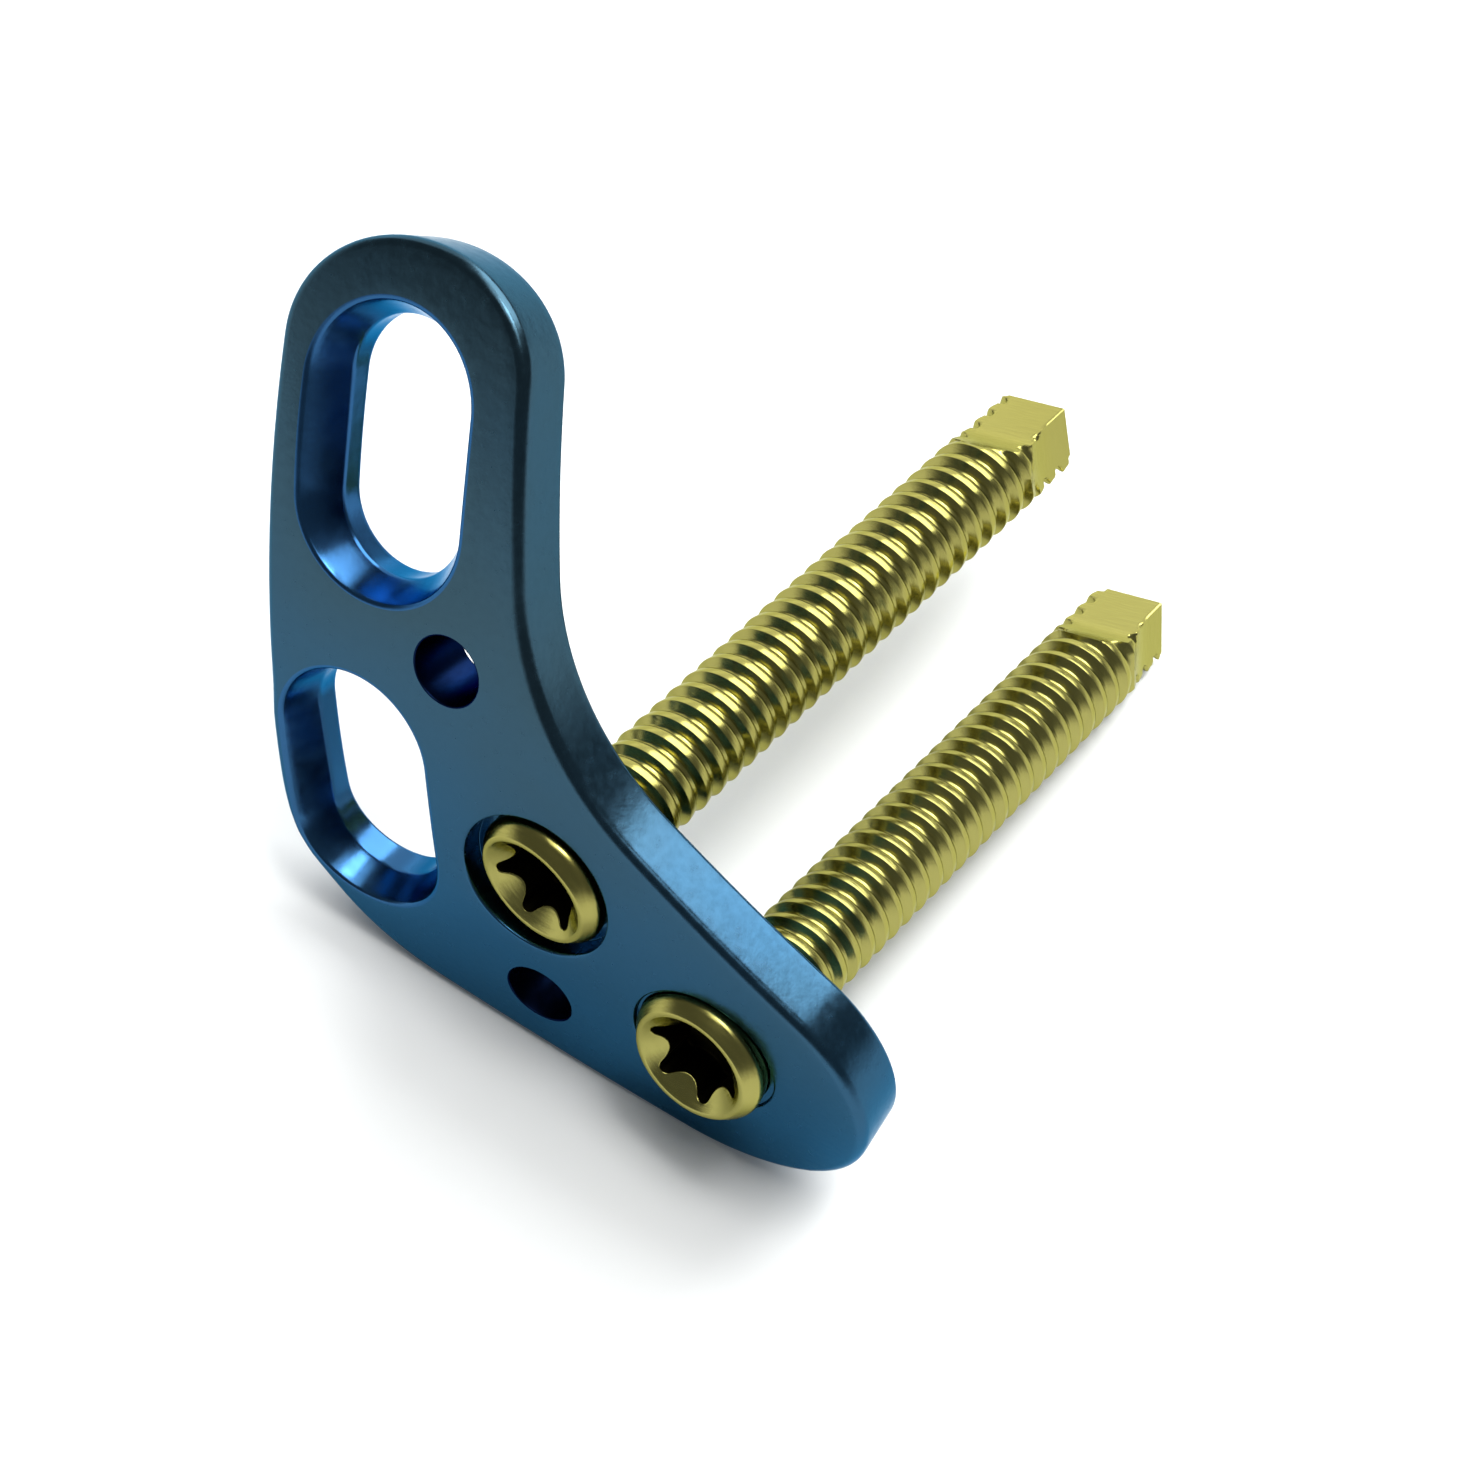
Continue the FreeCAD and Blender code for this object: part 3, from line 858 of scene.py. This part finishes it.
    def build(self) -> bpy.types.Object:
        """Build the walls of the openings, the side and both faces.

        Returns:
            The whole plate as one closed mesh.
        """
        skin = Skin()
        rims = [self.add_opening(skin, opening) for opening in self.openings()]
        edges = self.add_edge(skin, [front for front, _ in rims])
        for i, depth in enumerate((0.0, self.thickness)):
            points, faces = fill(edges[i], [pair[i] for pair in rims], self.spacing)
            skin.add(self.bend.place(points[:, 0], points[:, 1], depth), faces)
        return skin.build("plate_dressed", self.pose, self.crease)


@dataclass(frozen=True)
class ScrewSetting:
    """How a screw stands in its hole: turns of its drive and cuts, and its thread's start."""

    lobe_turn: float
    cuts_turn: float
    thread_start: float


@dataclass
class LockingScrew:
    """A screw with a tapered head, a six-lobed drive, a fine thread and a cut tip.

    The tip's cuts are the broad one, the rake beside it and the one below. Over one pitch the
    thread's profile has the places and the shares of its height in profile_places and
    profile_rises.
    """

    name: str
    pose: Pose
    setting: ScrewSetting
    sizes: ScrewSizes = ScrewSizes()
    cuts: tuple[TipFlat, ...] = (TipFlat(turn=0.0, height=0.92, length=2.0, runout=2.6),
                                 TipFlat(turn=-95.0, height=1.06, length=0.8, runout=4.0),
                                 TipFlat(turn=152.0, height=0.95, length=2.0, runout=2.6))
    columns: int = 180
    profile_places: tuple[float, ...] = (0.0, 0.05, 0.13, 0.20, 0.30, 0.42, 0.54, 0.59, 0.62,
                                         0.77, 0.83, 0.92)
    profile_rises: tuple[float, ...] = (0.0, 0.07, 0.66, 0.78, 0.86, 0.93, 0.99, 1.0, 0.94,
                                        0.12, 0.0, 0.0)
    pit_depth: float = 0.12
    pit_share: float = 0.25
    fade_length: float = 0.6
    head_roundings: tuple[float, ...] = (0.1, 0.07, 0.05, 0.06, 0.22, 0.1, 0.08)
    head_runs: tuple[int, ...] = (4, 4, 4, 1, 1, 10, 1, 1)
    rounding_rows: int = 5
    recess_rows: int = 15
    crease: float = 40.0

    def turns(self) -> Array:
        """Angles of the columns about the screw's axis."""
        return np.arange(self.columns) * FULL_TURN / self.columns

    def ring(self, radius: Array | float, height: Array | float) -> Array:
        """Points round the axis: radius times the cosine and the sine of each turn.

        Args:
            radius: Distance from the axis, one for all columns or one each.
            height: Height in the screw's frame, likewise.

        Returns:
            Points, (columns, 3).
        """
        turn = self.turns()
        radius = radius + 0 * turn
        return np.stack([radius * np.cos(turn), radius * np.sin(turn), height + 0 * turn],
                        axis=-1)

    def drive_outline(self) -> Array:
        """Radius of the six-lobed drive for every column.

        With t the angle from the nearest lobe's middle and c the distance of a lobe's centre, a
        lobe of radius r lies at c cos t + sqrt(r^2 - (c sin t)^2). Between lobes, with v the
        angle from the valley's middle, the valley of radius R round a centre at d lies at
        d cos v - sqrt(R^2 - (d sin v)^2). The two arcs touch where their centres are r + R apart.

        Returns:
            Radii, (columns,).
        """
        sizes = self.sizes
        step = FULL_TURN / sizes.lobes
        half = step / 2
        lobe = sizes.drive_lobe_radius
        valley = sizes.drive_across_valleys / 2
        lobe_way = sizes.drive_across_lobes / 2 - lobe
        rise = lobe_way * math.cos(half)
        bow = (valley ** 2 + lobe_way ** 2 - 2 * valley * rise - lobe ** 2) / (
            2 * (lobe - valley + rise))
        bow_way = valley + bow
        share = lobe / (lobe + bow)
        touch_x = lobe_way + (bow_way * math.cos(half) - lobe_way) * share
        touch = math.atan2(bow_way * math.sin(half) * share, touch_x)
        turn = self.turns() - math.radians(self.setting.lobe_turn)
        off = np.abs((turn + half) % step - half)
        outer = lobe_way * np.cos(off) + np.sqrt(
            np.maximum(lobe ** 2 - (lobe_way * np.sin(off)) ** 2, 0))
        inner = bow_way * np.cos(half - off) - np.sqrt(
            np.maximum(bow ** 2 - (bow_way * np.sin(half - off)) ** 2, 0))
        return np.where(off < touch, outer, inner)

    def head(self) -> Array:
        """Rows from the drive's floor over the face and shoulder down to the neck.

        Returns:
            Rows of points in the screw's frame, (rows, columns, 3).
        """
        sizes = self.sizes
        drive = self.drive_outline()
        mouth = sizes.drive_mouth_diameter / 2
        rim = -(mouth - drive) * math.tan(math.radians(sizes.drive_mouth_slope))
        neck = sizes.core_diameter / 2
        floor = -sizes.drive_depth - self.pit_depth * (1 - self.pit_share)
        corners = [
            self.ring(drive * self.pit_share, floor),
            self.ring(drive, -sizes.drive_depth),
            self.ring(drive, rim),
            self.ring(mouth, 0.0),
            self.ring(sizes.face_diameter / 2, 0.0),
            self.ring(sizes.head_diameter / 2, -sizes.shoulder_depth),
            self.ring(sizes.head_end_radius(), -sizes.head_length),
            self.ring(neck, -sizes.head_length - sizes.neck_slope_length),
            self.ring(neck, -self.neck_end()),
        ]
        return soften(corners, self.head_roundings, self.head_runs, self.rounding_rows)

    def neck_end(self) -> float:
        """Depth below the face at which the thread starts."""
        sizes = self.sizes
        return sizes.head_length + sizes.neck_length - sizes.neck_slope_length

    def thread_radius(self, turn: Array, height: Array) -> Array:
        """Radius of the shank at an angle and a height.

        The place in a turn of the thread is (z - start) over pitch, less the angle over a
        turn. There the thread rises above the core by its height times the profile's share,
        which has a broad crest that falls towards the tip and a steep flank towards the head.
        It fades in below the neck. The tip's chamfer and its cuts then limit the radius.

        Args:
            turn: Angle about the axis.
            height: Height in the screw's frame.

        Returns:
            Radii of the same shape.
        """
        sizes = self.sizes
        core = sizes.core_diameter / 2
        rise = sizes.thread_diameter / 2 - core
        place = (height - self.setting.thread_start) / sizes.pitch - turn / FULL_TURN
        crest = np.interp(place % 1.0, self.profile_places, self.profile_rises, period=1.0)
        fade = np.clip((-self.neck_end() - height) / self.fade_length, 0, 1)
        radius = core + rise * crest * fade ** 2 * (3 - 2 * fade)
        from_tip = height + sizes.length
        chamfer = sizes.tip_diameter / 2 + from_tip * (
            sizes.thread_diameter - sizes.tip_diameter) / 2 / sizes.tip_length
        radius = np.minimum(radius, chamfer)
        turn = turn - math.radians(self.setting.cuts_turn)
        for cut in self.cuts:
            radius = np.minimum(radius, cut.limit(turn, from_tip))
        return radius

    def shank(self) -> Array:
        """Rows of the thread, each climbing one pitch round the axis, held between both ends.

        Returns:
            Rows of points in the screw's frame, (rows, columns, 3).
        """
        sizes = self.sizes
        start = self.setting.thread_start
        top, tip = -self.neck_end(), -sizes.length
        first = math.floor((tip - start) / sizes.pitch) - 1
        last = math.ceil((top - start) / sizes.pitch)
        places = np.arange(first, last + 1)[:, None] + np.array(self.profile_places)
        rows = start + sizes.pitch * places.reshape(-1, 1)
        turn = self.turns()[None, :]
        height = np.clip(rows + sizes.pitch * turn / FULL_TURN, tip, top)
        radius = self.thread_radius(turn + 0 * height, height)
        return np.stack([radius * np.cos(turn), radius * np.sin(turn), height], axis=-1)

    def build(self) -> bpy.types.Object:
        """Build the recess, the head and the shank.

        Returns:
            The whole screw as one closed mesh.
        """
        skin = Skin()
        head = self.head()
        # the drive recess takes a near-black colour: painted shade inside the recess
        skin.paint = ScrewPaint.PAINTED_DRIVE_SHADE
        skin.add_cap(np.array([0, 0, -self.sizes.drive_depth - self.pit_depth]), head[0])
        skin.add_grid(head[:self.recess_rows + 1])
        skin.paint = ScrewPaint.METAL
        skin.add_grid(head[self.recess_rows:])
        shank = self.shank()
        skin.add_grid(shank, len(self.profile_places))
        skin.add_cap(np.array([0, 0, -self.sizes.length]), shank[0])
        return skin.build(self.name, self.pose, self.crease)


@dataclass(frozen=True)
class Wiring:
    """Short ways to add and join the shader nodes that finishes and sky share."""

    tree: bpy.types.NodeTree

    def add(self, kind: str) -> bpy.types.Node:
        """A new node of a kind."""
        return self.tree.nodes.new(kind)

    def join(self, source: bpy.types.NodeSocket, target: bpy.types.NodeSocket) -> None:
        """Link one node's output to another node's input."""
        self.tree.links.new(source, target)

    def noise(self, place: bpy.types.NodeSocket, scale: float, detail: float
              ) -> bpy.types.NodeSocket:
        """A noise texture's value at a place.

        Args:
            place: Where the texture is read.
            scale: Its waves on a millimetre.
            detail: Its finer layers.

        Returns:
            The value, which wanders about a half.
        """
        noise = self.add("ShaderNodeTexNoise")
        noise.inputs["Scale"].default_value = scale / MM
        noise.inputs["Detail"].default_value = detail
        self.join(place, noise.inputs["Vector"])
        return noise.outputs["Fac"]

    def remap(self, value: bpy.types.NodeSocket, source: Span, target: Span,
              curve: str = "LINEAR") -> bpy.types.NodeSocket:
        """A value brought from one span to another, held at its ends.

        Args:
            value: The value.
            source: The span that it comes from.
            target: The span that it is brought to.
            curve: How it goes from end to end.

        Returns:
            The new value.
        """
        remap = self.add("ShaderNodeMapRange")
        remap.interpolation_type = curve
        for side, span in (("From", source), ("To", target)):
            remap.inputs[side + " Min"].default_value = span[0]
            remap.inputs[side + " Max"].default_value = span[1]
        self.join(value, remap.inputs["Value"])
        return remap.outputs["Result"]

    def mix(self, share: bpy.types.NodeSocket, first: Colour, second: Colour
            ) -> bpy.types.NodeSocket:
        """The colour that lies a share of the way between two.

        Args:
            share: The share, from 0 to 1.
            first: The colour at 0.
            second: The colour at 1.

        Returns:
            The colour.
        """
        mix = self.add("ShaderNodeMix")
        mix.data_type = "RGBA"
        mix.inputs["A"].default_value = (*first, 1.0)
        mix.inputs["B"].default_value = (*second, 1.0)
        self.join(share, mix.inputs["Factor"])
        return mix.outputs["Result"]


@dataclass(frozen=True)
class AnodisedFinish:
    """Colour-anodised metal with a fine grain and soft patches of colour and gloss.

    Colours are linear. The second colour takes over up the object, between two heights, and
    the edge colour tints what is seen at a glancing angle. On the plate the darker second
    colour up the upper arm is painted shade.
    """

    name: str
    colour: Colour
    second: Colour
    roughness: Span
    patch_scale: float
    grain_scale: float
    grain_depth: float
    edge: Colour
    heights: Span = (0.0, 1.0)
    stretch: tuple[float, float, float] = (1.0, 1.0, 1.0)
    patch_detail: float = 3.0
    grain_detail: float = 4.0
    noise_span: Span = (0.3, 0.7)
    wander: Span = (-0.12, 0.12)

    def build(self, pose: Pose) -> bpy.types.Material:
        """The material, with its grain turned to a frame.

        Args:
            pose: Frame whose axes the grain follows.

        Returns:
            A node material that keeps every part in Object coordinates.
        """
        material = bpy.data.materials.new(self.name)
        material.use_nodes = True
        surface = material.node_tree.nodes["Principled BSDF"]
        surface.inputs["Metallic"].default_value = 1.0
        surface.inputs["Specular Tint"].default_value = (*self.edge, 1.0)
        wiring = Wiring(material.node_tree)
        place = wiring.add("ShaderNodeTexCoord").outputs["Object"]
        grain = wiring.noise(self.along(wiring, place, pose), self.grain_scale,
                             self.grain_detail)
        gloss = wiring.remap(grain, self.noise_span, self.roughness)
        bump = wiring.add("ShaderNodeBump")
        bump.inputs["Strength"].default_value = 1.0
        bump.inputs["Distance"].default_value = self.grain_depth * MM
        wiring.join(grain, bump.inputs["Height"])
        wiring.join(self.tone(wiring, place), surface.inputs["Base Color"])
        wiring.join(gloss, surface.inputs["Roughness"])
        wiring.join(bump.outputs["Normal"], surface.inputs["Normal"])
        return material

    def along(self, wiring: Wiring, place: bpy.types.NodeSocket, pose: Pose
              ) -> bpy.types.NodeSocket:
        """A place read in a frame, and stretched along its axes.

        Args:
            wiring: The material's nodes.
            place: The place in the part's frame.
            pose: The other frame.

        Returns:
            The place in the other frame.
        """
        turned = wiring.add("ShaderNodeMapping")
        turned.vector_type = "TEXTURE"
        turned.inputs["Location"].default_value = pose.origin * MM
        turned.inputs["Rotation"].default_value = Matrix(pose.axes.tolist()).to_euler()
        squeeze = wiring.add("ShaderNodeMapping")
        squeeze.inputs["Scale"].default_value = self.stretch
        wiring.join(place, turned.inputs["Vector"])
        wiring.join(turned.outputs["Vector"], squeeze.inputs["Vector"])
        return squeeze.outputs["Vector"]

    def tone(self, wiring: Wiring, place: bpy.types.NodeSocket) -> bpy.types.NodeSocket:
        """The colour at a place: the height's share of the way, with soft patches added.

        Args:
            wiring: The material's nodes.
            place: The place in the part's frame.

        Returns:
            The colour.
        """
        height = wiring.add("ShaderNodeSeparateXYZ")
        wiring.join(place, height.inputs["Vector"])
        low, high = self.heights
        patches = wiring.noise(place, self.patch_scale, self.patch_detail)
        share = wiring.add("ShaderNodeMath")
        share.operation = "ADD"
        wiring.join(wiring.remap(height.outputs["Z"], (low * MM, high * MM), UNIT_SPAN),
                    share.inputs[0])
        wiring.join(wiring.remap(patches, self.noise_span, self.wander), share.inputs[1])
        return wiring.mix(share.outputs["Value"], self.colour, self.second)


@dataclass(frozen=True)
class SoftBox:
    """A square area light that looks at the part from a direction; its lengths in metres."""

    name: str
    direction: tuple[float, float, float]
    distance: float
    size: float
    radiance: float
    colour: Colour = (1.0, 1.0, 1.0)

    def build(self, target: Vector) -> None:
        """Make the light; its power is radiance times four times its area.

        Args:
            target: Point that it faces.
        """
        light = bpy.data.lights.new(self.name, "AREA")
        light.shape = "SQUARE"
        light.size = self.size
        light.energy = 4 * self.size ** 2 * self.radiance
        light.color = self.colour
        way = Vector(self.direction).normalized()
        lamp = bpy.data.objects.new(self.name, light)
        lamp.location = target + way * self.distance
        lamp.rotation_euler = way.to_track_quat("Z", "Y").to_euler()
        bpy.context.scene.collection.objects.link(lamp)


@dataclass
class Studio:
    """Pale floor, soft light and the camera."""

    target_height: float = 0.009
    floor_size: float = 1.6
    floor_colour: Colour = (0.86, 0.87, 0.86)
    floor_roughness: float = 0.75
    floor_shine: float = 0.2
    sky: Colour = (0.18, 0.187, 0.193)
    skyline: Colour = (0.93, 0.94, 0.95)
    skyline_heights: Span = (0.06, 0.24)
    camera_place: tuple[float, float, float] = (29.595, -53.705, 100.261)
    camera_turn: tuple[float, float, float] = (30.6139, -8.7373, 43.6034)
    lens: float = 83.674
    sensor_width: float = 36.0
    seen_from_to: Span = (0.01, 10.0)
    boxes: tuple[SoftBox, ...] = (
        SoftBox("lamp", (0.02, 0.14, 0.98), distance=1.50, size=0.42, radiance=11.0),
        SoftBox("box_above", (-0.05, 0.12, 0.98), distance=1.50, size=1.10, radiance=2.4),
        SoftBox("box_behind", (-0.12, 0.70, 0.70), distance=1.50, size=1.20, radiance=4.9,
                colour=(0.97, 0.985, 1.0)),
        SoftBox("box_left", (-0.75, 0.62, 0.24), distance=1.50, size=1.50, radiance=1.0),
    )

    def build(self) -> None:
        """Build the floor, the lights, the sky and the camera."""
        self.build_floor()
        for box in self.boxes:
            box.build(Vector((0.0, 0.0, self.target_height)))
        self.build_sky()
        self.build_camera()

    def build_floor(self) -> None:
        """A level square sheet under the part."""
        half = self.floor_size / 2
        mesh = bpy.data.meshes.new("floor")
        corners = [(-half, -half, 0), (half, -half, 0), (half, half, 0), (-half, half, 0)]
        mesh.from_pydata(corners, [], [(0, 1, 2, 3)])
        material = bpy.data.materials.new("floor")
        material.use_nodes = True
        surface = material.node_tree.nodes["Principled BSDF"]
        surface.inputs["Base Color"].default_value = (*self.floor_colour, 1.0)
        surface.inputs["Roughness"].default_value = self.floor_roughness
        surface.inputs["Specular IOR Level"].default_value = self.floor_shine
        mesh.materials.append(material)
        floor = bpy.data.objects.new("floor", mesh)
        bpy.context.scene.collection.objects.link(floor)

    def build_sky(self) -> None:
        """Fill light from all round: a pale skyline under a darker sky.

        With z the height of a direction of length 1, the colour goes from the skyline's to
        the sky's between the two skyline_heights.
        """
        world = bpy.data.worlds.new("sky")
        world.use_nodes = True
        wiring = Wiring(world.node_tree)
        direction = wiring.add("ShaderNodeTexCoord")
        parts = wiring.add("ShaderNodeSeparateXYZ")
        wiring.join(direction.outputs["Generated"], parts.inputs["Vector"])
        climb = wiring.remap(parts.outputs["Z"], self.skyline_heights, UNIT_SPAN, "SMOOTHSTEP")
        wiring.join(wiring.mix(climb, self.skyline, self.sky),
                    world.node_tree.nodes["Background"].inputs["Color"])
        bpy.context.scene.world = world

    def build_camera(self) -> None:
        """The camera, at the photograph's viewing angle."""
        camera = bpy.data.cameras.new("camera")
        camera.lens = self.lens
        camera.sensor_width = self.sensor_width
        camera.clip_start, camera.clip_end = self.seen_from_to
        viewer = bpy.data.objects.new("camera", camera)
        viewer.location = Vector(self.camera_place) * MM
        viewer.rotation_euler = [math.radians(angle) for angle in self.camera_turn]
        bpy.context.scene.collection.objects.link(viewer)
        bpy.context.scene.camera = viewer
        bpy.context.scene.view_settings.view_transform = "Standard"


# The second colour, a darker teal up the upper arm, is painted shade: the arm turns darker where
# it faces a dark sky.
PLATE_FINISH = AnodisedFinish(
    name="plate_anodised", colour=(0.023, 0.086, 0.168), second=(0.032, 0.067, 0.092),
    roughness=(0.19, 0.28), patch_scale=0.16, grain_scale=3.2, grain_depth=0.006,
    edge=(0.50, 0.68, 0.84), heights=(4.0, 14.0))
FLARE_FINISH = AnodisedFinish(
    name="flare_anodised", colour=(0.028, 0.092, 0.20), second=(0.024, 0.085, 0.20),
    roughness=(0.17, 0.25), patch_scale=0.25, grain_scale=1.6, grain_depth=0.006,
    edge=(0.40, 0.66, 0.92), heights=(5.0, 17.0))
# Painted shade: the wire holes' walls are coloured near black for the shade inside them, not the
# plate's own colour.
PAINTED_BORE_SHADE_FINISH = AnodisedFinish(
    name="painted_bore_shade", colour=(0.004, 0.010, 0.036), second=(0.003, 0.009, 0.036),
    roughness=(0.30, 0.40), patch_scale=0.25, grain_scale=3.2, grain_depth=0.006,
    edge=(0.05, 0.08, 0.20), heights=(5.0, 17.0))
SCREW_FINISH = AnodisedFinish(
    name="screw_anodised", colour=(0.310, 0.290, 0.088), second=(0.275, 0.250, 0.068),
    roughness=(0.17, 0.27), patch_scale=0.3, grain_scale=1.2, grain_depth=0.006,
    edge=(0.75, 0.75, 0.50), stretch=(1.0, 1.0, 9.0), heights=(0.0, 14.0))
# Painted shade: the drive recess is coloured near black for the shade inside it, not the screw's
# own colour.
PAINTED_DRIVE_SHADE_FINISH = AnodisedFinish(
    name="painted_drive_shade", colour=(0.014, 0.012, 0.004), second=(0.014, 0.012, 0.004),
    roughness=(0.40, 0.55), patch_scale=0.3, grain_scale=2.0, grain_depth=0.006,
    edge=(0.05, 0.05, 0.02))


def dress(piece: bpy.types.Object, materials: list[bpy.types.Material], slot: Slot,
          node: str) -> None:
    """Give a piece its finishes and its place in the part.

    Args:
        piece: The piece.
        materials: Its finishes, the main one first.
        slot: Its material slot in the record; not used.
        node: The modelled node that it stands for.
    """
    for material in materials:
        piece.data.materials.append(material)
    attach(piece, "root")
    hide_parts(node)
    LOG.info("%s stands for %s", piece.name, node)


def main() -> None:
    """Build the plate, both screws and the studio."""
    logging.basicConfig(level=logging.INFO, format="%(name)s: %(message)s")
    rest = Pose.standing(REST_PLACE, REST_TURN)
    plate = BonePlate(rest)
    paints = [finish.build(rest) for finish in (PLATE_FINISH, FLARE_FINISH, PAINTED_BORE_SHADE_FINISH)]
    dress(plate.build(), paints, Slot.PLATE, "bone_plate")
    screws = {
        "upper": (plate.upper_lock,
                  ScrewSetting(lobe_turn=2.0, cuts_turn=98.0, thread_start=0.31)),
        "lower": (plate.lower_lock,
                  ScrewSetting(lobe_turn=37.5, cuts_turn=96.0, thread_start=0.0)),
    }
    for name, (lock, setting) in screws.items():
        pose = rest.carry(lock.screw_pose(plate.bend))
        screw = LockingScrew("screw_" + name + "_dressed", pose, setting)
        paints = [finish.build(pose) for finish in (SCREW_FINISH, PAINTED_DRIVE_SHADE_FINISH)]
        dress(screw.build(), paints, Slot.SCREW, "locking_screw_" + name)
    Studio().build()


if __name__ == "__main__":
    main()
